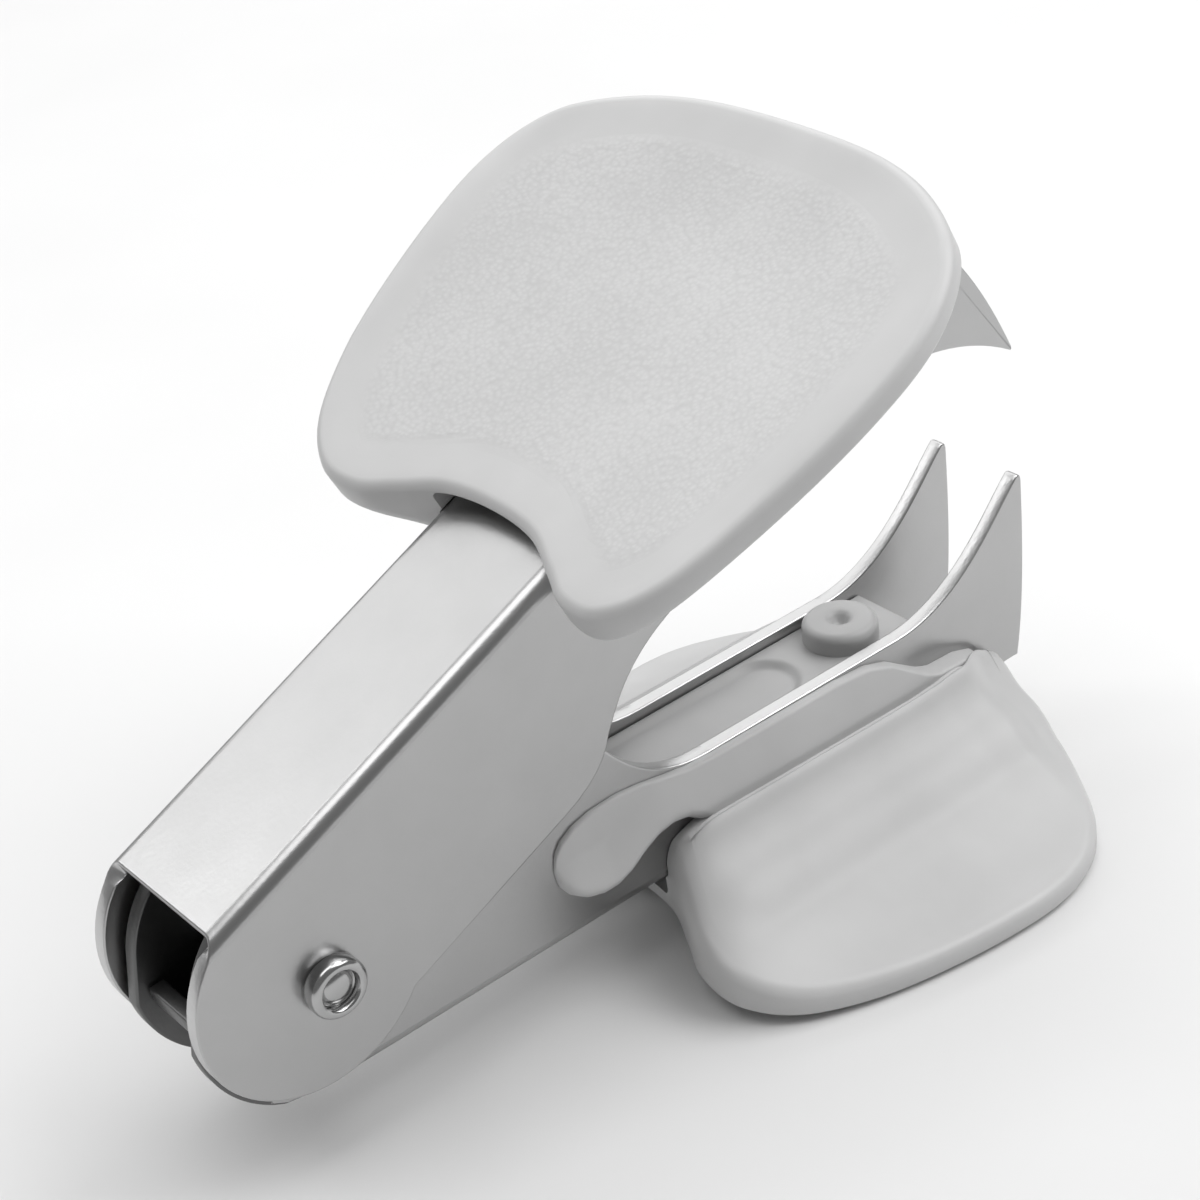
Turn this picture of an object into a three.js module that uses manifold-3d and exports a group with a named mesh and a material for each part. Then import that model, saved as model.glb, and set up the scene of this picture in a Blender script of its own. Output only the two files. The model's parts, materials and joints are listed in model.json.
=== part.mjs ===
// Claw staple remover: two nested sheet-steel jaws on a hollow rivet, opened by a torsion spring,
// with a wide plastic finger pad on each jaw.
// Millimetres, +Z up. The lower pad stands on z = 0, +X runs to the claws, +Y across the jaws.
import * as THREE from 'three';
import { mergeVertices } from 'three/addons/utils/BufferGeometryUtils.js';
import Module from 'manifold-3d';

const wasm = await Module();
wasm.setup();

// Driving dimensions. Both jaws are drawn in their own frame: the pivot at the origin, +X forward
// along the web, +H out from the mouth (up on the upper jaw, down on the lower one).
const SHEET = 1.0;                 // steel thickness
const UPPER_HALF = 5.25;           // half the outer width of the upper jaw
const LOWER_HALF = 3.75;           // half the outer width of the lower jaw, which nests inside it
const WEB_HEIGHT = 8.2;            // pivot to the outer face of each web
const WEB_FRONT = 46.5;            // where each web stops behind its claws
const UPPER_CORNER = 50;           // where the claws' front edge leaves the line of the web
const LOWER_CORNER = 53.7;
const UPPER_WEB_REAR = -2.8;       // rear edge of the upper web
const UPPER_MOUTH = -0.55;         // height of the cheeks' edges along the mouth
const LOWER_MOUTH = 0.95;
const CLAW_DEPTH = 6.7;            // claw tips beyond that edge
const UPPER_SWEEP = 2.6;           // how slender the claws are near their tips
const LOWER_SWEEP = 1.9;
const ARM_EDGE = 5.2;              // how far the upper cheeks reach past the pivot at the rear
const LOWER_ARM_EDGE = 5.0;        // the same on the lower cheeks
const UPPER_LOBE = 7.2;            // radius of the upper jaw's rear lobes
const UPPER_LOBE_X = -0.5;         // their centre, behind the pivot
const LOWER_LOBE = 7.7;            // radius of the lower jaw's rear lobes
const REAR_ARC = 7.2;              // the lower cheeks' rear edge above the pivot
const LOWER_BACK = 6.8;            // outer face of the lower web where it turns up behind the pivot
const LOWER_BACK_TOP = 0.7;        // where that upturned end stops
const CLAW_FRONT = 54.9;           // front of the claws
const BEND = 0.9;                  // outer radius of the folds between web and cheeks
const OPEN_ANGLE = 24;             // degrees between the webs at rest
const OPEN_RAD = THREE.MathUtils.degToRad(OPEN_ANGLE);
const RIVET_SHANK = 1.4;
const RIVET_HEAD = 1.8;
const RIVET_PROUD = 1.15;
const RUNNING = 0.05;              // radial clearance of the pivot
const GAP = 0.3;                   // gap between pieces that touch
const SLIDE = 0.1;                 // side gap between faces that slide past each other

// Finger pads, drawn in the jaw's frame.
const PAD_CENTRE = 38;             // centre of the pad's plan
const PAD_FACE = 10.8;             // outer face over the web
const PAD_RIM = 12.5;              // outer face at the rim
const PAD_RIM_WIDTH = 17;          // half width where the dish ends
const PAD_EDGE = 1.8;              // thickness at the rim
const PAD_ROOT = 3.9;              // where the wings meet the cheeks, under the middle of the pad
const PAD_ROOT_SLOPE = 0.05;       // how much deeper that gets towards the claws
const POCKET_FRONT = 28.5;         // how far the hollow under the rear edge reaches
const POCKET_HEIGHT = 1.35;        // its height over the web
const PAD_TILT = 0.075;            // rise of the upper pad's face towards the claws
const WALL_THIN = 0.3;             // lip of the lower pad's wall, which the upper cheeks pass over
const STAKE_X = 42.2;              // the stake that holds the two halves of each grip
const STAKE_RADIUS = 1.5;
const STAKE_HEAD = 2.4;
const STAKE_PROUD = 1.1;
const CORE_FACE = 1.6;             // mouth-side face of each core
const CORE_REAR = 21;
const RECESS_DEPTH = 0.4;

// Spring and bush round the rivet.
const WIRE = 0.45;
const COIL_RADIUS = 2.75;
const COIL_TURNS = 4;
const BUSH_RADIUS = 2.0;

const SIDES = [-1, 1];

// ---- solids -------------------------------------------------------------------------------

function toManifold(geometry) {
  const bare = geometry.clone();
  bare.deleteAttribute('normal');
  bare.deleteAttribute('uv');
  const merged = mergeVertices(bare, 1e-4);
  return new wasm.Manifold(new wasm.Mesh({
    numProp: 3,
    vertProperties: new Float32Array(merged.attributes.position.array),
    triVerts: new Uint32Array(merged.index.array),
  }));
}

function toGeometry(solid) {
  const mesh = solid.getMesh();
  const geometry = new THREE.BufferGeometry();
  geometry.setAttribute('position', new THREE.BufferAttribute(new Float32Array(mesh.vertProperties), 3));
  geometry.setIndex(new THREE.BufferAttribute(new Uint32Array(mesh.triVerts), 1));
  geometry.computeVertexNormals();
  return geometry;
}

function box(x0, x1, y0, y1, z0, z1) {
  const geometry = new THREE.BoxGeometry(x1 - x0, y1 - y0, z1 - z0);
  geometry.translate((x0 + x1) / 2, (y0 + y1) / 2, (z0 + z1) / 2);
  return toManifold(geometry);
}

// A prism of a side view (x, h), from y0 to y1.
function sidePrism(shape, y0, y1, segments = 10) {
  const geometry = new THREE.ExtrudeGeometry(shape, {
    depth: y1 - y0, bevelEnabled: false, curveSegments: segments,
  });
  geometry.rotateX(Math.PI / 2);
  geometry.translate(0, y1, 0);
  return toManifold(geometry);
}

// A cylinder across the jaws, from y0 to y1.
function crossPin(radius, y0, y1, sides = 40) {
  const geometry = new THREE.CylinderGeometry(radius, radius, y1 - y0, sides);
  geometry.translate(0, (y0 + y1) / 2, 0);
  return toManifold(geometry);
}

// A post along H at the stake's place.
function post(radius, h0, h1, sides = 32) {
  const geometry = new THREE.CylinderGeometry(radius, radius, h1 - h0, sides);
  geometry.rotateX(Math.PI / 2);
  geometry.translate(STAKE_X, 0, (h0 + h1) / 2);
  return toManifold(geometry);
}

function node(name, geometry, look) {
  const mesh = new THREE.Mesh(geometry, new THREE.MeshStandardMaterial(look));
  mesh.name = name;
  return mesh;
}

// ---- jaws ---------------------------------------------------------------------------------

// The side view that both jaws share: round the claw from its front, and back along the mouth.
function addClaw(shape, mouth, corner, sweep) {
  const tip = mouth - CLAW_DEPTH;
  shape.moveTo(corner, WEB_HEIGHT);
  shape.quadraticCurveTo(CLAW_FRONT, 0.5 * WEB_HEIGHT, CLAW_FRONT, tip + 0.5);
  shape.lineTo(CLAW_FRONT - 0.5, tip);
  shape.bezierCurveTo(
    CLAW_FRONT - 4.5 + sweep, tip + sweep, CLAW_FRONT - 5.9, mouth, CLAW_FRONT - 11.4, mouth,
  );
  shape.lineTo(28, mouth);
}

// From the mouth's rear end out to the edge of the arm beside the pivot.
function addArm(shape, mouth, armEdge) {
  shape.bezierCurveTo(24, mouth, 22.2, 0.6 * mouth - 1.7, 20.5, -0.65 * armEdge);
  shape.quadraticCurveTo(19, -armEdge, 15.8, -armEdge);
}

function upperSide() {
  const shape = new THREE.Shape();
  addClaw(shape, UPPER_MOUTH, UPPER_CORNER, UPPER_SWEEP);
  addArm(shape, UPPER_MOUTH, ARM_EDGE);
  const lobeHeight = WEB_HEIGHT - UPPER_LOBE;
  const start = -Math.asin((ARM_EDGE + lobeHeight) / UPPER_LOBE);
  shape.absarc(UPPER_LOBE_X, lobeHeight, UPPER_LOBE, start, -1.5 * Math.PI, true);
  return shape;
}

// A bar along the jaw, of half width w, with its two outer edges rounded to radius r.
function roundedBar(w, top, r, segments) {
  const foot = -14;
  const section = new THREE.Shape();
  section.moveTo(-w, foot);
  section.lineTo(w, foot);
  section.lineTo(w, top - r);
  section.absarc(w - r, top - r, r, 0, Math.PI / 2, false);
  section.lineTo(-w + r, top);
  section.absarc(-w + r, top - r, r, Math.PI / 2, Math.PI, false);
  const geometry = new THREE.ExtrudeGeometry(section, {
    depth: 80, bevelEnabled: false, curveSegments: segments,
  });
  geometry.rotateX(Math.PI / 2);
  geometry.rotateZ(Math.PI / 2);
  geometry.translate(-15, 0, 0);
  return toManifold(geometry);
}

// The outside of a folded channel, and the same grown by a clearance for what fits over it.
function foldedBar(half, clearance = 0) {
  return roundedBar(half + clearance, WEB_HEIGHT + clearance, BEND + clearance, 6);
}

// The channel's hollow between the cheeks, with the folds' small inner radius.
function hollowBar(half) {
  return roundedBar(half - SHEET, WEB_HEIGHT - SHEET, 0.4, 4);
}

function upperJaw() {
  const inner = UPPER_HALF - SHEET;
  return sidePrism(upperSide(), -UPPER_HALF, UPPER_HALF, 14)
    .intersect(foldedBar(UPPER_HALF))
    .subtract(hollowBar(UPPER_HALF))
    .subtract(box(-20, UPPER_WEB_REAR, -inner, inner, -20, 20))
    .subtract(box(WEB_FRONT, 80, -inner, inner, -20, 20))
    .subtract(post(STAKE_RADIUS + GAP, WEB_HEIGHT - 3, WEB_HEIGHT + 3))
    .subtract(crossPin(RIVET_SHANK + RUNNING, -10, 10, 48));
}

function lowerSide() {
  const rearTop = Math.asin(LOWER_ARM_EDGE / REAR_ARC);
  const shape = new THREE.Shape();
  addClaw(shape, LOWER_MOUTH, LOWER_CORNER, LOWER_SWEEP);
  addArm(shape, LOWER_MOUTH, LOWER_ARM_EDGE);
  shape.absarc(0, 0, REAR_ARC, Math.PI + rearTop, Math.PI + 0.15, true);
  shape.absarc(0, WEB_HEIGHT - LOWER_LOBE, LOWER_LOBE, Math.PI - 0.15, Math.PI / 2, true);
  return shape;
}

// The lower web's rear: it turns up at 45 degrees and then upright behind the pivot. "inset" is 0
// for its outer face and the sheet's thickness for its inner face.
function addLowerBack(shape, inset) {
  const web = WEB_HEIGHT - inset;
  const back = LOWER_BACK - inset;
  shape.lineTo(0.2, web);
  shape.quadraticCurveTo(-1.2, web, -2.1 + 0.3 * inset, web - 0.8);
  shape.lineTo(-4.7 + 0.55 * inset, 4.6 - 0.45 * inset);
  shape.quadraticCurveTo(-back, 2.5, -back, LOWER_BACK_TOP);
}

// The hollow of the lower jaw, over the web and before its upturned end.
function lowerHollow() {
  const shape = new THREE.Shape();
  shape.moveTo(WEB_FRONT, WEB_HEIGHT - SHEET);
  addLowerBack(shape, SHEET);
  shape.lineTo(-20, LOWER_BACK_TOP);
  shape.lineTo(-20, -20);
  shape.lineTo(80, -20);
  shape.lineTo(80, 20);
  shape.lineTo(WEB_FRONT, 20);
  return shape;
}

// The space between the lobes outside the web's upturned end.
function lowerBehind() {
  const shape = new THREE.Shape();
  shape.moveTo(2, WEB_HEIGHT);
  addLowerBack(shape, 0);
  shape.lineTo(-20, LOWER_BACK_TOP);
  shape.lineTo(-20, 20);
  shape.lineTo(2, 20);
  return shape;
}

function lowerJaw() {
  const inner = LOWER_HALF - SHEET;
  return sidePrism(lowerSide(), -LOWER_HALF, LOWER_HALF, 14)
    .intersect(foldedBar(LOWER_HALF))
    .subtract(sidePrism(lowerHollow(), -inner, inner, 14))
    .subtract(sidePrism(lowerBehind(), -inner, inner, 14))
    .subtract(post(STAKE_RADIUS + GAP, WEB_HEIGHT - 3, WEB_HEIGHT + 3))
    .subtract(crossPin(RIVET_SHANK + RUNNING, -10, 10, 48));
}

// ---- grips --------------------------------------------------------------------------------

// Half of the pad's plan, from the notch at the rear to the middle of the front (x, y).
const PAD_HALF_PLAN = [
  [24.2, 0], [23.8, 3.8], [22.4, 6.8], [21.2, 9.4], [21.4, 12.5], [24.1, 15.4],
  [30.0, 17.6], [37.0, 18.8], [42.5, 18.7], [46.8, 16.7], [49.7, 12.6], [51.4, 7.2], [51.9, 0],
];

function padPlan(count) {
  const half = PAD_HALF_PLAN.map(([x, y]) => new THREE.Vector3(x, y, 0));
  const mirror = half.slice(1, -1).reverse().map((p) => new THREE.Vector3(p.x, -p.y, 0));
  const loop = new THREE.CatmullRomCurve3([...half, ...mirror], true, 'centripetal');
  return loop.getSpacedPoints(count).slice(0, count);
}

// The wing's outer face: dished across, flat along the rim.
function padOuter(x, y, tilt) {
  const side = Math.min(Math.abs(y) / PAD_RIM_WIDTH, 1);
  const ends = Math.max(0, (x - 41.5) / 7.5) ** 2;
  const dish = Math.min(1, side ** 2 + ends);
  return PAD_FACE + (PAD_RIM - PAD_FACE) * dish + tilt * (x - 34);
}

// The wing's mouth-side face falls away from the cheek to the rim in a soft S.
function padInner(x, y, tilt) {
  const span = 17.4 - UPPER_HALF;
  const t = THREE.MathUtils.clamp((Math.abs(y) - UPPER_HALF) / span, 0, 1);
  const rim = PAD_RIM - PAD_EDGE + tilt * (x - 34);
  const front = Math.max(0, (x - 46) / 6) ** 2;
  const fall = Math.min(1, 1 - (1 - t) ** 1.6 + 0.5 * front * (1 - t));
  const rear = 3.2 * Math.max(0, (26.5 - x) / 3.4) ** 2;
  const root = PAD_ROOT + PAD_ROOT_SLOPE * (x - PAD_CENTRE) + rear;
  return Math.max(root + (rim - root) * fall, Math.min(root, rim));
}

// A closed skin over the pad's plan: rings from the middle of the outer face, round the rim, and
// back to the middle of the inner face.
function padBody(tilt) {
  const plan = padPlan(72);
  const centre = new THREE.Vector2(PAD_CENTRE, 0);
  const rings = [];
  const ring = (scale, height) => rings.push(plan.map((p) => {
    const x = centre.x + (p.x - centre.x) * scale;
    const y = centre.y + (p.y - centre.y) * scale;
    return new THREE.Vector3(x, y, height(x, y));
  }));
  const outer = (x, y) => padOuter(x, y, tilt);
  const inner = (x, y) => padInner(x, y, tilt);
  for (const s of [0.3, 0.6, 0.8, 0.9, 0.95]) ring(s, outer);
  ring(0.985, (x, y) => outer(x, y) - 0.2);
  ring(1, (x, y) => outer(x, y) - 0.7);
  ring(1, (x, y) => Math.min(inner(x, y) + 0.5, outer(x, y) - 0.9));
  ring(0.98, (x, y) => inner(x, y) + 0.1);
  for (const s of [0.92, 0.8, 0.65, 0.5, 0.35, 0.22]) ring(s, inner);
  const n = plan.length;
  const vertices = [new THREE.Vector3(centre.x, 0, outer(centre.x, 0)), ...rings.flat(),
    new THREE.Vector3(centre.x, 0, inner(centre.x, 0))];
  const last = vertices.length - 1;
  const faces = [];
  const at = (r, k) => 1 + r * n + (k % n);
  for (let k = 0; k < n; k++) {
    faces.push([0, at(0, k + 1), at(0, k)]);
    faces.push([last, at(rings.length - 1, k), at(rings.length - 1, k + 1)]);
    for (let r = 0; r < rings.length - 1; r++) {
      faces.push([at(r, k), at(r, k + 1), at(r + 1, k)]);
      faces.push([at(r, k + 1), at(r + 1, k + 1), at(r + 1, k)]);
    }
  }
  const geometry = new THREE.BufferGeometry();
  const numbers = vertices.flatMap((v) => v.toArray());
  geometry.setAttribute('position', new THREE.Float32BufferAttribute(numbers, 3));
  geometry.setIndex(faces.flat());
  return toManifold(geometry);
}

// The stake's head, with the dimple left by forming it, on the mouth side of the core.
function stakeHead() {
  const bottom = CORE_FACE - GAP;
  const profile = [
    [0, bottom], [STAKE_HEAD, bottom], [STAKE_HEAD, bottom - STAKE_PROUD + 0.4],
    [STAKE_HEAD - 0.2, bottom - STAKE_PROUD + 0.12], [STAKE_HEAD - 0.6, bottom - STAKE_PROUD],
    [1.0, bottom - STAKE_PROUD + 0.1], [0.6, bottom - STAKE_PROUD + 0.6], [0, bottom - STAKE_PROUD + 0.7],
  ].map(([r, h]) => new THREE.Vector2(r, h));
  const geometry = new THREE.LatheGeometry(profile.reverse(), 32);
  geometry.rotateX(Math.PI / 2);
  geometry.translate(STAKE_X, 0, 0);
  return toManifold(geometry);
}

function stake() {
  return post(STAKE_RADIUS, CORE_FACE - GAP - 0.1, PAD_FACE - 1).add(stakeHead());
}

// The lower pad's wall along each cheek, with a tongue reaching back: thin where the upper cheeks
// pass over it, thick along its foot.
function wallSide() {
  const shape = new THREE.Shape();
  shape.moveTo(52.2, 9);
  shape.quadraticCurveTo(51.0, 5.3, 49.4, 4.2);
  shape.quadraticCurveTo(47.5, 3.5, 45.4, 3.9);
  shape.quadraticCurveTo(43.2, 2.2, 41, 1.6);
  shape.lineTo(27, 1.2);
  shape.quadraticCurveTo(24.5, 0.2, 21, 0.1);
  shape.bezierCurveTo(18.6, 0.1, 16.2, 1.2, 15.9, 3.0);
  shape.bezierCurveTo(15.8, 5.2, 18, 6.4, 20.4, 6.2);
  shape.lineTo(25.2, 7.4);
  shape.lineTo(26, 9);
  return shape;
}

function lowerWall(side) {
  const inside = LOWER_HALF + SLIDE;
  const lip = inside + WALL_THIN;
  const spanOf = (a, b) => [Math.min(side * a, side * b), Math.max(side * a, side * b)];
  const foot = new THREE.Shape();
  foot.moveTo(17.2, 4.2);
  foot.quadraticCurveTo(17.4, 6.0, 20.0, 5.7);
  foot.quadraticCurveTo(22.4, 4.6, 25, 5.2);
  foot.lineTo(26, 9);
  foot.lineTo(50, 9);
  foot.lineTo(50, 5.2);
  foot.lineTo(44, 4.3);
  foot.lineTo(24, 3.6);
  foot.quadraticCurveTo(19, 3.3, 17.2, 4.2);
  return sidePrism(wallSide(), ...spanOf(inside, lip))
    .add(sidePrism(foot, ...spanOf(lip - 0.05, UPPER_HALF - 0.15)));
}

// The pad's underside fits over the channel, with a hollow behind its rear edge.
function channelledPad(half, tilt) {
  const inner = half - 0.35;
  return padBody(tilt)
    .subtract(foldedBar(half, GAP))
    .subtract(box(15, POCKET_FRONT, -inner, inner, WEB_HEIGHT - 1, WEB_HEIGHT + POCKET_HEIGHT));
}

function upperGrip() {
  return channelledPad(UPPER_HALF, PAD_TILT).add(stake());
}

function lowerGrip() {
  const body = channelledPad(LOWER_HALF, 0);
  return SIDES.reduce((solid, side) => solid.add(lowerWall(side)), body).add(stake());
}

// The inner half of a grip: a block between the cheeks with an oval recess in its mouth-side face.
function core(half) {
  const width = half - SHEET - GAP;
  const recess = new THREE.Shape();
  const recessWidth = width - 0.35;
  recess.moveTo(24, -recessWidth);
  recess.lineTo(35.2, -recessWidth);
  recess.absarc(35.2, 0, recessWidth, -Math.PI / 2, Math.PI / 2, false);
  recess.lineTo(24, recessWidth);
  recess.absarc(24, 0, recessWidth, Math.PI / 2, 1.5 * Math.PI, false);
  const pocket = new THREE.ExtrudeGeometry(recess, { depth: 2, bevelEnabled: false, curveSegments: 10 });
  pocket.translate(0, 0, CORE_FACE - 2 + RECESS_DEPTH);
  return box(CORE_REAR, WEB_FRONT - GAP, -width, width, CORE_FACE, WEB_HEIGHT - SHEET - GAP)
    .subtract(post(STAKE_RADIUS + GAP, -10, 20))
    .subtract(toManifold(pocket));
}

// ---- pivot --------------------------------------------------------------------------------

// Hollow rivet: a shank with a rolled head outside each upper cheek and a cup in each end.
function rivet() {
  const face = UPPER_HALF + RUNNING;
  const end = face + RIVET_PROUD;
  const half = [
    [0, end - 1.3], [0.55, end - 1.0], [0.95, end - 0.8], [1.0, end - 0.25], [1.2, end], [1.55, end],
    [RIVET_HEAD, end - 0.3], [RIVET_HEAD, face], [RIVET_SHANK, face],
  ];
  const profile = [...half, ...half.map(([r, y]) => [r, -y]).reverse()];
  return new THREE.LatheGeometry(profile.map(([r, y]) => new THREE.Vector2(r, y)).reverse(), 40);
}

function bush() {
  const half = LOWER_HALF - SHEET - SLIDE;
  const bore = RIVET_SHANK + RUNNING;
  const profile = [[bore, -half], [BUSH_RADIUS, -half], [BUSH_RADIUS, half], [bore, half], [bore, -half]];
  return new THREE.LatheGeometry(profile.map(([r, y]) => new THREE.Vector2(r, y)), 36);
}

// The spring's wire: one leg under the upper web, coils round the bush, one leg on the lower web.
class SpringPath extends THREE.Curve {
  constructor(points) {
    super();
    this.line = new THREE.CatmullRomCurve3(points, false, 'centripetal');
  }

  getPoint(t, target = new THREE.Vector3()) {
    return this.line.getPoint(t, target);
  }
}

function springPoints() {
  const width = 2 * (LOWER_HALF - SHEET) - 2 * WIRE - 2 * GAP;
  const start = THREE.MathUtils.degToRad(78);
  const end = THREE.MathUtils.degToRad(-82) + 2 * Math.PI * COIL_TURNS;
  const points = [];
  const up = new THREE.Vector3(Math.cos(OPEN_RAD + 0.02), 0, Math.sin(OPEN_RAD + 0.02));
  const top = new THREE.Vector3(Math.cos(start) * COIL_RADIUS, width / 2, Math.sin(start) * COIL_RADIUS);
  points.push(top.clone().addScaledVector(up, 15).add(new THREE.Vector3(-0.9, 0, 2.2)));
  points.push(top.clone().addScaledVector(up, 8).add(new THREE.Vector3(-0.5, 0, 1.1)));
  const steps = 16 * COIL_TURNS;
  for (let i = 0; i <= steps; i++) {
    const angle = start + (end - start) * (i / steps);
    const y = width / 2 - width * (i / steps);
    points.push(new THREE.Vector3(Math.cos(angle) * COIL_RADIUS, y, Math.sin(angle) * COIL_RADIUS));
  }
  points.push(new THREE.Vector3(8, -width / 2, -4.6));
  points.push(new THREE.Vector3(16, -width / 2, -6.1));
  return points;
}

function spring() {
  const wire = new THREE.Shape();
  wire.absarc(0, 0, WIRE, 0, 2 * Math.PI, false);
  return new THREE.ExtrudeGeometry(wire, {
    steps: 110, extrudePath: new SpringPath(springPoints()), curveSegments: 4, bevelEnabled: false,
  });
}

// ---- assembly -----------------------------------------------------------------------------

const STEEL = { color: 0xc4c6c8, roughness: 0.22, metalness: 1 };
const PLASTIC = { color: 0xc9cac8, roughness: 0.5, metalness: 0 };
const RIVET_STEEL = { color: 0x9b9d9f, roughness: 0.3, metalness: 1 };
const SPRING_STEEL = { color: 0x8c8e90, roughness: 0.3, metalness: 1 };

const upper = new THREE.Group();
upper.rotation.y = -OPEN_RAD;
upper.add(
  node('upper_jaw', toGeometry(upperJaw()), STEEL),
  node('upper_grip', toGeometry(upperGrip()), PLASTIC),
  node('upper_core', toGeometry(core(UPPER_HALF)), PLASTIC),
);

const lower = new THREE.Group();
lower.rotation.x = Math.PI;
lower.add(
  node('lower_jaw', toGeometry(lowerJaw()), STEEL),
  node('lower_grip', toGeometry(lowerGrip()), PLASTIC),
  node('lower_core', toGeometry(core(LOWER_HALF)), PLASTIC),
);

const pivot = new THREE.Group();
pivot.add(
  node('pivot_rivet', rivet(), RIVET_STEEL),
  node('spring_bush', bush(), RIVET_STEEL),
  node('torsion_spring', spring(), SPRING_STEEL),
);

const mechanism = new THREE.Group();
mechanism.add(upper, lower, pivot);

const remover = new THREE.Group();
remover.add(mechanism);
remover.updateMatrixWorld(true);
const bounds = new THREE.Box3().setFromObject(remover, true);
mechanism.position.set(-(bounds.min.x + bounds.max.x) / 2, 0, -bounds.min.z);

export default remover;
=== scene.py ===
"""Claw staple remover: two nested sheet-steel jaws on a hollow rivet, with a moulded finger pad on each jaw.

Every piece is drawn in its jaw's own frame, in millimetres: the pivot at the origin, +X forward along the
web, +H out from the mouth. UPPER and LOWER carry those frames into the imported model's frame, in metres.
"""
import json
import math

import bmesh
import bpy
from mathutils import Euler, Matrix, Vector


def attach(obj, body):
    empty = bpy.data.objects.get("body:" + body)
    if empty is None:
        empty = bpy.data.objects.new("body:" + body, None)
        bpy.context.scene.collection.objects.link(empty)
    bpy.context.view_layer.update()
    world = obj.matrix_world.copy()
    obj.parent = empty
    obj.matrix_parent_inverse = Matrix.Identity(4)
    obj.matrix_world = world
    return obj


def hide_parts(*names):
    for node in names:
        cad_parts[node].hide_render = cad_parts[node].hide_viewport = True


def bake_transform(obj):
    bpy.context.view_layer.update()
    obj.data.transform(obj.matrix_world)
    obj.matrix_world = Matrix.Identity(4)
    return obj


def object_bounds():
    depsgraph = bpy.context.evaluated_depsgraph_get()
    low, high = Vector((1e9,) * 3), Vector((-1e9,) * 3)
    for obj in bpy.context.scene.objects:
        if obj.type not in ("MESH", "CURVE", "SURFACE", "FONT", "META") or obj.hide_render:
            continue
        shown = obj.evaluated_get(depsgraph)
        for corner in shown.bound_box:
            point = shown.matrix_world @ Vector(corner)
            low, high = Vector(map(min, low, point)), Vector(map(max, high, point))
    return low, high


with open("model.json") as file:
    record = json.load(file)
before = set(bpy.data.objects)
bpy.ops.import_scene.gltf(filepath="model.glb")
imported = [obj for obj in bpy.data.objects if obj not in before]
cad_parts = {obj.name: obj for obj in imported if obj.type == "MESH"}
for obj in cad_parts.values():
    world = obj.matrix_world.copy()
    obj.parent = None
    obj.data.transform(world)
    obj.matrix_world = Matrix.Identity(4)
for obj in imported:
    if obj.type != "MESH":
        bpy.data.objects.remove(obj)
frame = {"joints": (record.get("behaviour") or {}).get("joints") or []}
cad_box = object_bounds()

# ---- frames and driving dimensions, in millimetres ------------------------------------------------

MM = 0.001
OPEN_ANGLE = math.radians(24)
PIVOT = Vector(frame["joints"][0]["pos_m"])
SCALE = Matrix.Scale(MM, 4)
UPPER = Matrix.Translation(PIVOT) @ Matrix.Rotation(-OPEN_ANGLE, 4, "Y") @ SCALE
LOWER = Matrix.Translation(PIVOT) @ Matrix.Rotation(math.pi, 4, "X") @ SCALE
MIDDLE = Matrix.Translation(PIVOT) @ SCALE
ACROSS = MIDDLE @ Matrix.Rotation(math.pi / 2, 4, "X")   # turned parts' axis along the pivot

SHEET = 1.0                  # steel thickness
UPPER_HALF = 5.25            # half the outer width of each jaw
LOWER_HALF = 3.75
WEB = 8.2                    # pivot to the outer face of each web
BEND = 0.9                   # outer radius of the folds
FOLD = WEB - BEND            # where the cheeks' flat faces end
WEB_FRONT = 46.5
MOUTH_REAR = 28              # where the mouth's straight edge turns out to the arm
CLAW_FRONT = 54.9
CLAW_DEPTH = 6.7
UPPER_MOUTH = -0.55
LOWER_MOUTH = 0.95
UPPER_LOBE = 7.2             # radius of each jaw's rear lobe
LOWER_LOBE = 7.7
UPPER_ARM = 5.2              # pivot to the mouth-side edge of each arm
LOWER_ARM = 5.0
RIVET_SHANK = 1.4
RIVET_HEAD = 1.8
RIVET_PROUD = 1.15
PAD_CENTRE = 38
PAD_FACE = 10.8              # pivot to a pad's outer face, in its middle and at its rim
PAD_RIM = 12.5
PAD_RIM_WIDTH = 17
PAD_EDGE = 1.8               # thickness of the rim
PAD_ROUND = 0.72             # rounding of the rim
PAD_TILT = 0.075             # slope of the upper pad along its web
TILT_X = 34                  # where the slope adds nothing
CREASE = 5.0                 # half width where the lower wings leave the walls
STAKE_X = 42.2
STAKE_HEAD = 2.4
STAKE_PROUD = 1.1
CORE_FACE = 1.6
CORE_REAR = 21
RECESS_REAR = 24             # centres of the recess's round ends
RECESS_FRONT = 35.6
RECESS_DEPTH = 0.4
GAP = 0.3
WIRE = 0.45                  # radius of the spring's wire
COIL_RADIUS = 2.75
COIL_TURNS = 4
BUSH_RADIUS = 2.0

SIDES = (-1, 1)
QUARTER = math.pi / 2


# ---- curves in the plane --------------------------------------------------------------------------

def bezier(p0, p1, p2, p3, count):
    """Points of a cubic Bezier after p0, up to and with p3."""
    out = []
    for i in range(1, count + 1):
        t = i / count
        s = 1 - t
        a, b, c, d = s * s * s, 3 * s * s * t, 3 * s * t * t, t * t * t
        out.append((a * p0[0] + b * p1[0] + c * p2[0] + d * p3[0],
                    a * p0[1] + b * p1[1] + c * p2[1] + d * p3[1]))
    return out


def quadratic(p0, p1, p2, count):
    """The same for a quadratic Bezier."""
    c1 = (p0[0] + 2 / 3 * (p1[0] - p0[0]), p0[1] + 2 / 3 * (p1[1] - p0[1]))
    c2 = (p2[0] + 2 / 3 * (p1[0] - p2[0]), p2[1] + 2 / 3 * (p1[1] - p2[1]))
    return bezier(p0, c1, c2, p2, count)


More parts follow.
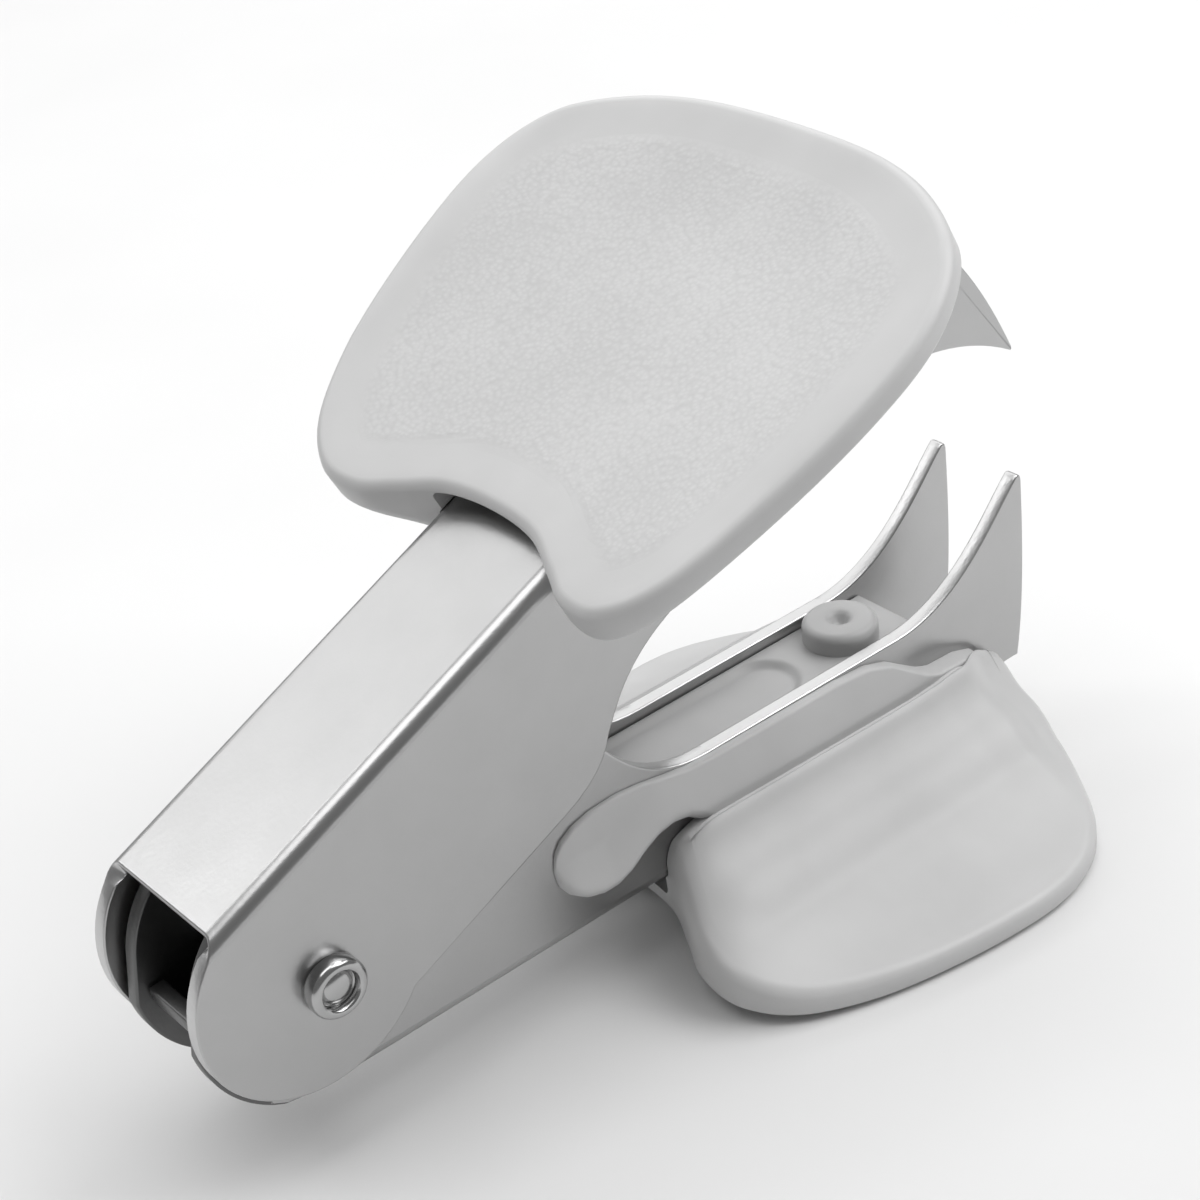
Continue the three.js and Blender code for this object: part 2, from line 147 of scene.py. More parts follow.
def arc(cx, cy, r, start, end, count):
    """Points of an arc from one angle to another, both ends included."""
    angles = [start + (end - start) * i / count for i in range(count + 1)]
    return [(cx + r * math.cos(a), cy + r * math.sin(a)) for a in angles]


def smoothstep(low, high, value):
    """0 at low, 1 at high, and a soft S between; low may be the larger."""
    t = min(max((value - low) / (high - low), 0), 1)
    return t * t * (3 - 2 * t)


def quarter_round(distance, radius):
    """0 at an edge and 1 from a radius inside it, along a quarter circle."""
    return math.sqrt(max(0.0, 1 - max(0, 1 - distance / radius) ** 2))


def sample(points, x):
    """Height at x of the line through (x, h) points."""
    for (x0, h0), (x1, h1) in zip(points, points[1:]):
        if x <= x1:
            t = max((x - x0) / (x1 - x0), 0)
            return h0 + (h1 - h0) * t
    return points[-1][1]


def closed_spline(points, per_span):
    """A smooth closed line (uniform Catmull-Rom) through the points."""
    n = len(points)
    out = []
    for i in range(n):
        p0, p1, p2, p3 = (Vector(points[(i + k - 1) % n]) for k in range(4))
        for j in range(per_span):
            t = j / per_span
            out.append(0.5 * (2 * p1 + (p2 - p0) * t + (2 * p0 - 5 * p1 + 4 * p2 - p3) * t * t
                              + (3 * p1 - p0 - 3 * p2 + p3) * t * t * t))
    return out


# ---- mesh helpers -----------------------------------------------------------------------------------

def mesh_object(name, vertices, faces, matrix, material=None):
    """An object in the scene, from vertices in the matrix's own frame."""
    mesh = bpy.data.meshes.new(name)
    mesh.from_pydata([matrix @ Vector(v) for v in vertices], [], faces)
    if material:
        mesh.materials.append(material)
    obj = bpy.data.objects.new(name, mesh)
    bpy.context.scene.collection.objects.link(obj)
    return obj


def shade_smooth(obj):
    mesh = obj.data
    mesh.polygons.foreach_set("use_smooth", [True] * len(mesh.polygons))


def piece(name, vertices, faces, matrix, body, material):
    """A smooth mesh object in a jaw's frame, riding on a body."""
    obj = mesh_object(name, vertices, faces, matrix, material)
    obj.data.validate()
    shade_smooth(obj)
    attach(obj, body)
    return obj


def fix_normals(obj):
    """Joins the doubled points of a closed mesh and points every face outwards."""
    bm = bmesh.new()
    bm.from_mesh(obj.data)
    bmesh.ops.remove_doubles(bm, verts=bm.verts, dist=1e-7)
    bmesh.ops.recalc_face_normals(bm, faces=bm.faces)
    bm.to_mesh(obj.data)
    bm.free()


def apply_modifiers(obj):
    """Keeps the mesh that the modifiers make, and removes them."""
    depsgraph = bpy.context.evaluated_depsgraph_get()
    mesh = bpy.data.meshes.new_from_object(obj.evaluated_get(depsgraph))
    obj.modifiers.clear()
    obj.data = mesh


def cutter(vertices, faces, matrix):
    """A closed mesh to subtract from a piece."""
    obj = mesh_object("cutter", vertices, faces, matrix)
    fix_normals(obj)
    return obj


def cut(obj, *cutters):
    """Subtracts the cutters from a piece and removes them."""
    for other in cutters:
        mod = obj.modifiers.new("cut", "BOOLEAN")
        mod.operation = "DIFFERENCE"
        mod.object = other
        mod.solver = "EXACT"
    apply_modifiers(obj)
    for other in cutters:
        bpy.data.objects.remove(other)


def break_edges(obj, width):
    """Rounds the edges of bent sheet."""
    mod = obj.modifiers.new("edges", "BEVEL")
    mod.width = width * MM
    mod.segments = 3
    mod.limit_method = "ANGLE"
    mod.angle_limit = math.radians(50)
    mod.use_clamp_overlap = False


def sharp_by_angle(obj, degrees, flats=()):
    """Marks as sharp each edge whose faces meet at more than this angle, and the borders of the flat faces
    whose normals lie along one of the directions in flats."""
    bm = bmesh.new()
    bm.from_mesh(obj.data)
    bm.normal_update()
    limit = math.radians(degrees)
    flat = {f for f in bm.faces if any(abs(f.normal.dot(d)) > 0.99999 for d in flats)}
    for edge in bm.edges:
        faces = edge.link_faces
        edge.smooth = (len(faces) == 2 and edge.calc_face_angle(0) < limit
                       and (faces[0] in flat) == (faces[1] in flat))
    bm.to_mesh(obj.data)
    bm.free()


def loft(rings):
    """Vertices and faces of a skin over closed rings of equal length, and a cap on each of its two ends."""
    n = len(rings[0])
    vertices = [tuple(p) for ring in rings for p in ring]
    faces = []
    for r in range(len(rings) - 1):
        for k in range(n):
            j = (k + 1) % n
            faces.append((r * n + k, r * n + j, (r + 1) * n + j, (r + 1) * n + k))
    faces.append(tuple(reversed(range(n))))
    faces.append(tuple(range((len(rings) - 1) * n, len(rings) * n)))
    return vertices, faces


def lathe(profile, segments):
    """The same for a profile of (radius, height) pairs, turned about Z."""
    rings = []
    for radius, height in profile:
        ring = []
        for k in range(segments):
            a = 2 * math.pi * k / segments
            ring.append((radius * math.cos(a), radius * math.sin(a), height))
        rings.append(ring)
    return loft(rings)


# ---- materials --------------------------------------------------------------------------------------

class Nodes:
    """A short way to write a node tree."""

    def __init__(self, name):
        self.material = bpy.data.materials.new(name)
        self.material.use_nodes = True
        self.tree = self.material.node_tree
        self.shader = self.tree.nodes["Principled BSDF"]

    def add(self, kind, **values):
        node = self.tree.nodes.new(kind)
        for key, value in values.items():
            if hasattr(node, key):
                setattr(node, key, value)
            else:
                node.inputs[key.replace("_", " ")].default_value = value
        return node

    def link(self, output, target):
        self.tree.links.new(output, target)

    def ramp(self, source, low, high):
        """A grey ramp between two (place, value) stops."""
        node = self.add("ShaderNodeValToRGB")
        for element, (place, value) in zip(node.color_ramp.elements, (low, high)):
            element.position = place
            element.color = (value, value, value, 1)
        self.link(source, node.inputs["Fac"])
        return node.outputs["Color"]

    def math(self, operation, a, b):
        node = self.add("ShaderNodeMath")
        node.operation = operation
        for socket, value in zip(node.inputs, (a, b)):
            if isinstance(value, (int, float)):
                socket.default_value = value
            else:
                self.link(value, socket)
        return node.outputs["Value"]


def object_space(nodes, scale=(1, 1, 1)):
    """Object coordinates, stretched: an object's frame is the model's, in metres."""
    coordinates = nodes.add("ShaderNodeTexCoord")
    mapping = nodes.add("ShaderNodeMapping", Scale=scale)
    nodes.link(coordinates.outputs["Object"], mapping.inputs["Vector"])
    return mapping.outputs["Vector"]


def steel(name, grey, roughness, grain):
    """Plated metal: a faint rolled grain, soft mottling and a few pits in the plating."""
    n = Nodes(name)
    space = object_space(n)
    grain_space = object_space(n, (180, 2600, 2600))
    mottle = n.add("ShaderNodeTexNoise", Scale=260.0, Detail=4.0, Roughness=0.6)
    streaks = n.add("ShaderNodeTexNoise", Scale=1.0, Detail=3.0, Roughness=0.5)
    speck = n.add("ShaderNodeTexNoise", Scale=3800.0, Detail=2.0, Roughness=0.5)
    n.link(space, mottle.inputs["Vector"])
    n.link(grain_space, streaks.inputs["Vector"])
    n.link(space, speck.inputs["Vector"])
    tint = n.ramp(mottle.outputs["Fac"], (0.3, 0.97 * grey), (0.7, grey))
    n.link(tint, n.shader.inputs["Base Color"])
    rough = n.ramp(mottle.outputs["Fac"], (0.25, roughness + 0.02), (0.75, roughness - 0.02))
    n.link(rough, n.shader.inputs["Roughness"])
    height = n.math("ADD", n.math("MULTIPLY", streaks.outputs["Fac"], 0.6),
                    n.math("MULTIPLY", speck.outputs["Fac"], 0.5))
    bump = n.add("ShaderNodeBump", Strength=0.05 * grain, Distance=0.0002)
    n.link(height, bump.inputs["Height"])
    n.link(bump.outputs["Normal"], n.shader.inputs["Normal"])
    n.shader.inputs["Metallic"].default_value = 1.0
    return n.material


def plastic(name, grey, roughness, stipple):
    """Moulded grey plastic. With stipple, it is finely grained where a mesh's "stipple" attribute says so,
    with painted shade in the hollows between the grains.
    """
    n = Nodes(name)
    space = object_space(n)
    cloud = n.add("ShaderNodeTexNoise", Scale=140.0, Detail=3.0, Roughness=0.5)
    fine = n.add("ShaderNodeTexNoise", Scale=5200.0, Detail=2.0, Roughness=0.6)
    n.link(space, cloud.inputs["Vector"])
    n.link(space, fine.inputs["Vector"])
    height = n.math("MULTIPLY", fine.outputs["Fac"], 0.12)
    tone = cloud.outputs["Fac"]
    if stipple:
        mask = n.add("ShaderNodeAttribute", attribute_name="stipple").outputs["Fac"]
        pips = n.add("ShaderNodeTexVoronoi", Scale=3400.0, Randomness=1.0)
        pips.feature = "SMOOTH_F1"
        pips.inputs["Smoothness"].default_value = 0.6
        n.link(space, pips.inputs["Vector"])
        grains = n.math("MULTIPLY", n.math("SUBTRACT", 2.2, pips.outputs["Distance"]), mask)
        height = n.math("ADD", height, grains)
        # painted shade: the colour darkens away from each grain's top, so the hollows between the grains are
        # darker
        shade = n.math("MULTIPLY", n.math("SUBTRACT", pips.outputs["Distance"], 0.42), mask)
        tone = n.math("ADD", tone, n.math("MULTIPLY", shade, -0.9))
    tint = n.ramp(tone, (0.2, 0.93 * grey), (0.8, 1.04 * grey))
    n.link(tint, n.shader.inputs["Base Color"])
    rough = n.ramp(cloud.outputs["Fac"], (0.3, roughness + 0.04), (0.7, roughness - 0.03))
    n.link(rough, n.shader.inputs["Roughness"])
    bump = n.add("ShaderNodeBump", Strength=0.35, Distance=0.00006)
    n.link(height, bump.inputs["Height"])
    n.link(bump.outputs["Normal"], n.shader.inputs["Normal"])
    return n.material


PLATE = steel("plated_sheet", 0.46, 0.3, 1.0)
EDGE_STEEL = steel("sheared_edge", 0.57, 0.34, 3.0)
# painted shade: a near-black steel that darkens the lower jaw's rear and its tab, where shade falls
SHADED_REAR_STEEL = steel("painted_shade_plate", 0.15, 0.42, 2.0)
RIVET_STEEL = steel("rivet_plate", 0.45, 0.2, 0.6)
SPRING_STEEL = steel("spring_wire", 0.42, 0.3, 1.4)
PAD_PLASTIC = plastic("pad_plastic", 0.56, 0.42, stipple=True)
CORE_PLASTIC = plastic("core_plastic", 0.45, 0.4, stipple=False)


# ---- jaws -------------------------------------------------------------------------------------------

def claw_line(corner, mouth, sweep, blunt):
    """Side view from the claw's top front, round its tip and back along the mouth to the arm."""
    tip = mouth - CLAW_DEPTH
    front = [(corner, WEB)]
    front += quadratic((corner, WEB), (CLAW_FRONT, WEB / 2), (CLAW_FRONT, tip + blunt), 24)
    front = [p for p in front if p[1] < FOLD]
    tip_point = (CLAW_FRONT - blunt, tip)
    tip_round = quadratic(front[-1], (CLAW_FRONT - 0.02, tip - 0.05), tip_point, 6)
    hook = bezier(tip_point, (CLAW_FRONT - 4.5 + sweep, tip + sweep), (CLAW_FRONT - 5.9, mouth),
                  (CLAW_FRONT - 11.4, mouth), 24)
    return [(front[0][0], FOLD)] + front + tip_round + hook + [(MOUTH_REAR, mouth)]


def arm_line(mouth, arm_edge):
    """From the mouth's rear end out to the edge of the arm."""
    curve = bezier((MOUTH_REAR, mouth), (24, mouth), (22.2, 0.6 * mouth - 1.7), (20.5, -0.65 * arm_edge), 14)
    return curve + quadratic(curve[-1], (19, -arm_edge), (15.8, -arm_edge), 6)


def upper_outline():
    """The upper cheek, from the web's front round to where the folds begin at the rear."""
    cy = WEB - UPPER_LOBE
    start = -math.asin((UPPER_ARM + cy) / UPPER_LOBE)
    end = math.pi - math.asin((FOLD - cy) / UPPER_LOBE)
    mouth = claw_line(50, UPPER_MOUTH, 2.6, 0.2) + arm_line(UPPER_MOUTH, UPPER_ARM)
    return [(WEB_FRONT, FOLD)] + mouth + arc(-0.5, cy, UPPER_LOBE, start, -(2 * math.pi - end), 40)


def lower_outline():
    """The lower cheek. Its rear is an arc about the pivot, a short straight line and the lobe."""
    rear_arc = 7.2
    gap = 0.15                   # angle that the straight line takes from each arc
    cy = WEB - LOWER_LOBE
    start = math.asin(LOWER_ARM / rear_arc)
    end = math.pi - math.asin((FOLD - cy) / LOWER_LOBE)
    mouth = claw_line(53.7, LOWER_MOUTH, 1.9, 0.45) + arm_line(LOWER_MOUTH, LOWER_ARM)
    rear = arc(0, 0, rear_arc, math.pi + start, math.pi + gap, 12)
    return [(WEB_FRONT, FOLD)] + mouth + rear + arc(0, cy, LOWER_LOBE, math.pi - gap, end, 20)


def lower_tab():
    """The lower web's rear, turned up at 45 degrees and then upright behind the pivot."""
    down = [(0.4, WEB)] + quadratic((0.4, WEB), (-1.2, WEB), (-2.1, WEB - 0.8), 6) + [(-4.7, 4.6)]
    return down + quadratic((-4.7, 4.6), (-6.8, 2.5), (-6.8, 0.7), 8)


def folded_sheet(half, outline, web_rear, tab):
    """The outer skin of a jaw: two cheeks, the folds, and the web with its rear tab."""
    vertices = []
    faces = []

    def add_face(indices, outward):
        a, b, c = (Vector(vertices[i]) for i in indices[:3])
        normal = (b - a).cross(c - a)
        faces.append(tuple(indices) if normal.dot(outward) > 0 else tuple(reversed(indices)))

    turning = sum(a[0] * b[1] - b[0] * a[1] for a, b in zip(outline, outline[1:] + outline[:1]))
    fold_rear = outline[-1][0]
    steps = 8
    ends = {}
    for side in SIDES:
        first = len(vertices)
        vertices += [(x, side * half, h) for x, h in outline]
        cheek = [first + i for i in range(len(outline))]
        faces.append(tuple(cheek if turning * side < 0 else reversed(cheek)))
        rear, front = first + len(outline) - 1, first
        for k in range(1, steps + 1):
            a = QUARTER * k / steps
            y = side * (half - BEND + BEND * math.cos(a))
            h = FOLD + BEND * math.sin(a)
            x = fold_rear + (web_rear - fold_rear) * math.sin(a)
            vertices += [(x, y, h), (WEB_FRONT, y, h)]
            new_rear, new_front = len(vertices) - 2, len(vertices) - 1
            middle = a - 0.5 * QUARTER / steps
            outward = Vector((0, side * math.cos(middle), math.sin(middle)))
            add_face([rear, front, new_front, new_rear], outward)
            rear, front = new_rear, new_front
        ends[side] = (rear, front)
    web = [ends[-1][0], ends[-1][1], ends[1][1], ends[1][0]]
    if tab:
        width = half - SHEET - 0.12
        first = len(vertices)
        for x, h in tab:
            vertices += [(x, width, h), (x, -width, h)]
        web += [first, first + 1]
        for k in range(len(tab) - 1):
            (x0, h0), (x1, h1) = tab[k], tab[k + 1]
            a = first + 2 * k
            add_face([a, a + 1, a + 3, a + 2], Vector((h1 - h0, 0, x0 - x1)))
    add_face(web, Vector((0, 0, 1)))
    return vertices, faces


def pivot_drill():
    """The space that the rivet's shank takes in both jaws."""
    axis, bore, reach = 0.02, RIVET_SHANK + 0.05, 8
    vertices, faces = lathe([(axis, -reach), (bore, -reach), (bore, reach), (axis, reach)], 48)
    return cutter(vertices, faces, ACROSS)


def paint_rear_shade(obj, matrix):
    """Painted shade: a near-black steel on the rear edges and the tab, standing in for the shade inside the
    jaw's rear.
    """
    obj.data.materials.append(SHADED_REAR_STEEL)
    shade_slot = 2                     # its place, after the plate and the sheared edges
    rear = 3
    back = matrix.inverted()
    for polygon in obj.data.polygons:
        if (back @ polygon.center).x < rear:
            polygon.material_index = shade_slot


def sheet_jaw(name, matrix, body, half, outline, web_rear, tab=None):
    """A folded jaw of even thickness with broken edges."""
    vertices, faces = folded_sheet(half, outline, web_rear, tab)
    obj = piece(name, vertices, faces, matrix, body, PLATE)
    obj.data.materials.append(EDGE_STEEL)
    solid = obj.modifiers.new("sheet", "SOLIDIFY")
    solid.thickness = SHEET * MM
    solid.offset = -1
    solid.use_even_offset = True
    solid.material_offset_rim = 1
    break_edges(obj, 0.13)
    cut(obj, pivot_drill())
    turn = matrix.to_3x3()
    sharp_by_angle(obj, 40, [(turn @ Vector(d)).normalized() for d in ((0, 1, 0), (0, 0, 1))])
    # painted shade on the lower jaw's rear and its tab
    if tab:
        paint_rear_shade(obj, matrix)
    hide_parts(name.replace("_shell", ""))


sheet_jaw("upper_jaw_shell", UPPER, "upper_half", UPPER_HALF, upper_outline(), -2.8)
sheet_jaw("lower_jaw_shell", LOWER, "lower_half", LOWER_HALF, lower_outline(), 0.2, lower_tab())


# ---- finger pads ------------------------------------------------------------------------------------

PAD_HALF_PLAN = [
    (24.2, 0), (23.8, 3.8), (22.4, 6.8), (21.2, 9.4), (21.4, 12.5), (24.1, 15.4),
    (30.0, 17.6), (37.0, 18.8), (42.5, 18.7), (46.8, 16.7), (49.7, 12.6), (51.4, 7.2), (51.9, 0),
]
PAD_INSET = 1.3              # from the plan's edge in to where both faces begin
SLOT_REAR = 25.8             # the stretch of the mouth side between the two wings
SLOT_FRONT = 50.5
WING_WIDTH = 17.6            # half width where the wings reach the height of the rim
WAVE_HEIGHT = 0.2
WAVE_LENGTH = 4.4
GROOVE_DEPTH = 0.95
RIDGE_HEIGHT = 0.12
REAR_START = 27.8            # where, how far and over what length the mouth side rolls off to the rear
REAR_ROUND = 4.0
REAR_SPAN = 4.2
ROOT_LINE = [                # height of the wings' root along the cheek
    (20.0, 3.4), (25.0, 3.45), (34.0, 3.65), (43.0, 3.8), (45.0, 3.7), (46.6, 3.5), (48.0, 3.4),
    (49.5, 3.5), (51.0, 3.9), (52.3, 4.8),
]


def pad_plan():
    """A pad's whole outline, seen square to its web."""
    loop = PAD_HALF_PLAN + [(x, -y) for x, y in reversed(PAD_HALF_PLAN[1:-1])]
    return closed_spline(loop, 10)


def pad_outer(x, y, tilt):
    """The wing's outer face: dished across and towards the front."""
    side = min(abs(y) / PAD_RIM_WIDTH, 1)
    ends = 0.35 * max(0, (x - 41.5) / 9) ** 2
    dish = min(1, side * side + ends)
    return PAD_FACE + (PAD_RIM - PAD_FACE) * dish + tilt * (x - TILT_X)


def crease_line(half, x):
    """Half width where the wings begin: beside the lower walls, or at the cheeks."""
    if half == UPPER_HALF:
        return half + 0.1
    return CREASE - (CREASE - half - 0.15) * smoothstep(47.0, 49.5, x)


def pad_inner(x, y, tilt, half):
    """The mouth-side face: a groove, a ridge and soft waves beside the cheek, on a curve out to the rim."""
    out = abs(y) - crease_line(half, x)
    reach = min(max(out / (WING_WIDTH - CREASE), 0), 1)
    rim = PAD_RIM - PAD_EDGE + tilt * (x - TILT_X)
    front = max(0, (x - 46) / 6) ** 2
    fall = min(1, 1 - (1 - reach) ** 1.6 + 0.2 * front * (1 - reach))
    rear = REAR_START - 0.45 * max(abs(y) - 3.8, 0)
    behind = min(max((rear - x) / REAR_SPAN, 0), 1)
    root = min(sample(ROOT_LINE, x) + REAR_ROUND * (1 - math.sqrt(1 - behind * behind)), rim)
    waves = WAVE_HEIGHT * math.sin(2 * math.pi * (out - 1.2) / WAVE_LENGTH) * smoothstep(7.2, 5.4, out)
    ridge = RIDGE_HEIGHT * math.exp(-((out - 0.95) / 0.3) ** 2)
    groove = GROOVE_DEPTH * (1 - smoothstep(0.12, 0.7, out)) - ridge
    return root + (rim - root) * fall + (waves + groove) * smoothstep(23, 26, x)


def pad_rings(tilt, half):
    """A pad's rings, from the middle of its outer face, round its rim, to the middle of its mouth side."""
    plan = pad_plan()
    n = len(plan)
    normals = []
    for k in range(n):
        along = (plan[(k + 1) % n] - plan[k - 1]).normalized()
        normals.append(Vector((along.y, -along.x)))
    centre = Vector((PAD_CENTRE, 0))
    turn = -1 if sum((p - centre).dot(m) for p, m in zip(plan, normals)) > 0 else 1

    def outer_height(x, y):
        return pad_outer(x, y, tilt)

    def inner_height(x, y):
        return pad_inner(x, y, tilt, half)

    def inset(depth):
        return [p + m * (turn * depth) for p, m in zip(plan, normals)]

    def rounding(height, sign):
        """Rings round the edge of one face; sign is +1 on the outer one."""
        rings = []
        steps = 6
        for k in range(1, steps + 1):
            a = QUARTER * k / steps
            depth = PAD_ROUND * (1 - math.cos(a))
            drop = PAD_ROUND * (1 - math.sin(a))
            rings.append([(p.x, p.y, height(p.x, p.y) - sign * drop) for p in inset(depth)])
        return rings

    def skin(loops, height):
        return [[(p.x, p.y, height(p.x, p.y)) for p in loop] for loop in loops]

    edge = inset(PAD_INSET)
    slot = []
    for p in edge:
        x = min(max(p.x, SLOT_REAR), SLOT_FRONT)
        limit = crease_line(half, x)
        slot.append(Vector((x, min(max(p.y, -limit), limit))))
    dished = [[centre + (p - centre) * (1 - 0.985 * k / 25) for p in edge] for k in range(26)]
    reaches = [1 - 0.022 * k for k in range(40)]
    reaches += [0.125, 0.11, 0.097, 0.086]
    reaches += [0.078 - 0.006 * k for k in range(14)]
    winged = [[q + (p - q) * s for p, q in zip(edge, slot)] for s in reaches]
    winged += [[centre + (q - centre) * s for q in slot] for s in (0.8, 0.5, 0.2, 0.02)]
    outer = rounding(outer_height, 1) + skin(dished, outer_height)
    inner = rounding(inner_height, -1) + skin(winged, inner_height)
    return list(reversed(outer)) + inner


def bar_cutter(w, low, high, r, steps, ends, matrix):
    """A bar along X between two ends, with its two outer corners rounded; w is half its width."""
    section = [(-w, low), (w, low)] + arc(w - r, high - r, r, 0, QUARTER, steps)
    section += arc(-w + r, high - r, r, QUARTER, math.pi, steps)
    rings = [[(x, y, h) for y, h in section] for x in ends]
    return cutter(*loft(rings), matrix)


def channel_cutter(half, matrix):
    """The space that the jaw's channel takes in its pad."""
    clear = 0.06
    return bar_cutter(half + clear, 3.0, WEB + clear, BEND, 6, (10, 60), matrix)


def pocket_cutter(half, matrix):
    """The hollow under the pad's rear edge, over the web."""
    return bar_cutter(half - 0.35, WEB - 1, WEB + 1.35, 0.5, 5, (15, 28.5), matrix)


def add_stipple(obj, matrix):
    """Marks the grained inset of a pad's outer face, where the material also paints shade between the grains.
    """
    plan = pad_plan()
    back = matrix.inverted()
    up = matrix.to_3x3() @ Vector((0, 0, 1))
    values = []
    for vertex in obj.data.vertices:
        p = back @ vertex.co
        near = min((Vector((p.x, p.y)) - q).length for q in plan)
        above = p.z - 9.6 - 0.06 * (p.x - TILT_X)    # height over a plane inside the pad
        outside = above > 0 and vertex.normal.dot(up) > 0
        values.append(smoothstep(3.0, 3.6, near) if outside else 0.0)
    attribute = obj.data.attributes.new("stipple", "FLOAT", "POINT")
    attribute.data.foreach_set("value", values)


def pad(name, matrix, body, half, tilt, node):
    """A finger pad, cut out for the jaw that it sits on."""
    vertices, faces = loft(pad_rings(tilt, half))
    obj = piece(name, vertices, faces, matrix, body, PAD_PLASTIC)
    fix_normals(obj)
    cut(obj, channel_cutter(half, matrix), pocket_cutter(half, matrix))
    sharp_by_angle(obj, 40)
    add_stipple(obj, matrix)
    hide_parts(node)


pad("upper_pad", UPPER, "upper_half", UPPER_HALF, PAD_TILT, "upper_grip")
pad("lower_pad", LOWER, "lower_half", LOWER_HALF, 0, "lower_grip")


# ---- the lower pad's walls and tongues --------------------------------------------------------------

WALL_REAR = 15.9
WALL_FRONT = 49.5
WALL_NOSE = 1.8              # length of the rear end, where the sections stand closer
WALL_TOP = [                 # the wall's edge on the mouth's side
    (15.9, 2.9), (16.1, 1.75), (16.6, 1.05), (17.5, 0.5), (18.8, 0.15), (20.8, 0.05), (22.5, 0.25),
    (24.0, 0.55), (26.0, 0.9), (28.0, 1.03), (38.0, 1.1), (40.5, 1.3), (42.3, 1.9), (43.6, 2.8),
    (44.8, 3.6), (45.8, 4.0), (48.0, 4.1), (49.5, 4.6),
]
WALL_FOOT = [                # its other edge: under the tongue, and then inside the pad
    (15.9, 2.9), (16.1, 4.0), (16.6, 4.75), (17.5, 5.4), (18.6, 5.75), (19.6, 5.75), (20.6, 5.35),
    (21.8, 4.65), (23.0, 4.1), (24.2, 3.9), (25.4, 4.1), (26.6, 5.0), (28.0, 6.0), (30.0, 7.0),
    (49.5, 8.0),
]
LEAN_START = [(15.9, 2.6), (19.5, 2.5), (23.5, 0.3), (49.5, 0.3)]
LEAN_SPAN = [(15.9, 2.4), (19.5, 2.4), (23.5, 3.9), (49.5, 3.9)]


def wall_depth(x, h, top, foot):
    """How far the wall stands out from the cheek at a height: a leaning face with rounded borders, thin where
    the upper jaw's arms swing past."""
    if foot - top <= 0.05:
        return 0.0
    thin = 0.3
    thick = CREASE - LOWER_HALF
    lean = thin + (thick - thin) * min(max((h - sample(LEAN_START, x)) / sample(LEAN_SPAN, x), 0), 1)
    lip = quarter_round(h - top, 0.2)
    roll = quarter_round(foot - h, 1.1)
    nose = quarter_round(x - WALL_REAR, 1.2)
    return lean * lip * roll * (0.3 + 0.7 * nose)


def wall(name, side):
    """One wall: a skin of upright sections along the cheek."""
    inside = LOWER_HALF + 0.02
    stations = [WALL_REAR + WALL_NOSE * (1 - math.cos(QUARTER * k / 12)) for k in range(12)]
    stations += [WALL_REAR + WALL_NOSE + (WALL_FRONT - WALL_REAR - WALL_NOSE) * k / 110 for k in range(111)]
    rows = 34
    rings = []
    for x in stations:
        top = sample(WALL_TOP, x)
        foot = max(sample(WALL_FOOT, x), top + 0.02)
        ring = []
        for k in range(rows + 1):
            h = top + (foot - top) * 0.5 * (1 - math.cos(math.pi * k / rows))
            ring.append((x, side * (inside + wall_depth(x, h, top, foot)), h))
        ring.append((x, side * (inside - 0.01), foot))
        ring.append((x, side * (inside - 0.01), top))
        rings.append(ring)
    vertices, faces = loft(rings)
    obj = piece(name, vertices, faces, LOWER, "lower_half", PAD_PLASTIC)
    fix_normals(obj)


wall("lower_pad_wall_right", 1)
wall("lower_pad_wall_left", -1)


# ---- cores and stakes -------------------------------------------------------------------------------

def core_height(x, y, width, front):
    """The core's mouth-side face: an oval recess with soft sides, and rounded edges."""
    along = min(max(x, RECESS_REAR), RECESS_FRONT)
    inside = (width - 0.35) - math.hypot(x - along, y)
    recess = RECESS_DEPTH * smoothstep(-0.15, 0.55, inside)
    edge = min(x - CORE_REAR, front - x, width - abs(y))
    round_off = 0.18
    roll = round_off - math.sqrt(max(0, round_off ** 2 - max(0, round_off - edge) ** 2))
    return CORE_FACE + recess + roll


def core(name, matrix, body, half, node):
    """The block between the cheeks: a grid for its face, and plain sides down to the web."""
    width = half - SHEET - 0.04
    front = WEB_FRONT - 0.1
    columns, rows = 150, 44
    xs = [CORE_REAR + (front - CORE_REAR) * k / columns for k in range(columns + 1)]
    ys = [width * math.sin(QUARTER * (2 * k / rows - 1)) for k in range(rows + 1)]
    vertices = [(x, y, core_height(x, y, width, front)) for x in xs for y in ys]
    row = rows + 1
    faces = [(i * row + j, i * row + j + 1, (i + 1) * row + j + 1, (i + 1) * row + j)
             for i in range(columns) for j in range(rows)]
    rim = [i * row for i in range(columns + 1)] + [columns * row + j for j in range(1, row)]
    rim += [i * row + rows for i in range(columns - 1, -1, -1)] + [j for j in range(rows - 1, 0, -1)]
    first = len(vertices)
    vertices += [(vertices[i][0], vertices[i][1], WEB - SHEET - 0.05) for i in rim]
    for k in range(len(rim)):
        j = (k + 1) % len(rim)
        faces.append((rim[k], rim[j], first + j, first + k))
    faces.append(tuple(range(first, first + len(rim))))
    obj = piece(name, vertices, faces, matrix, body, CORE_PLASTIC)
    fix_normals(obj)
    sharp_by_angle(obj, 50)
    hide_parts(node)


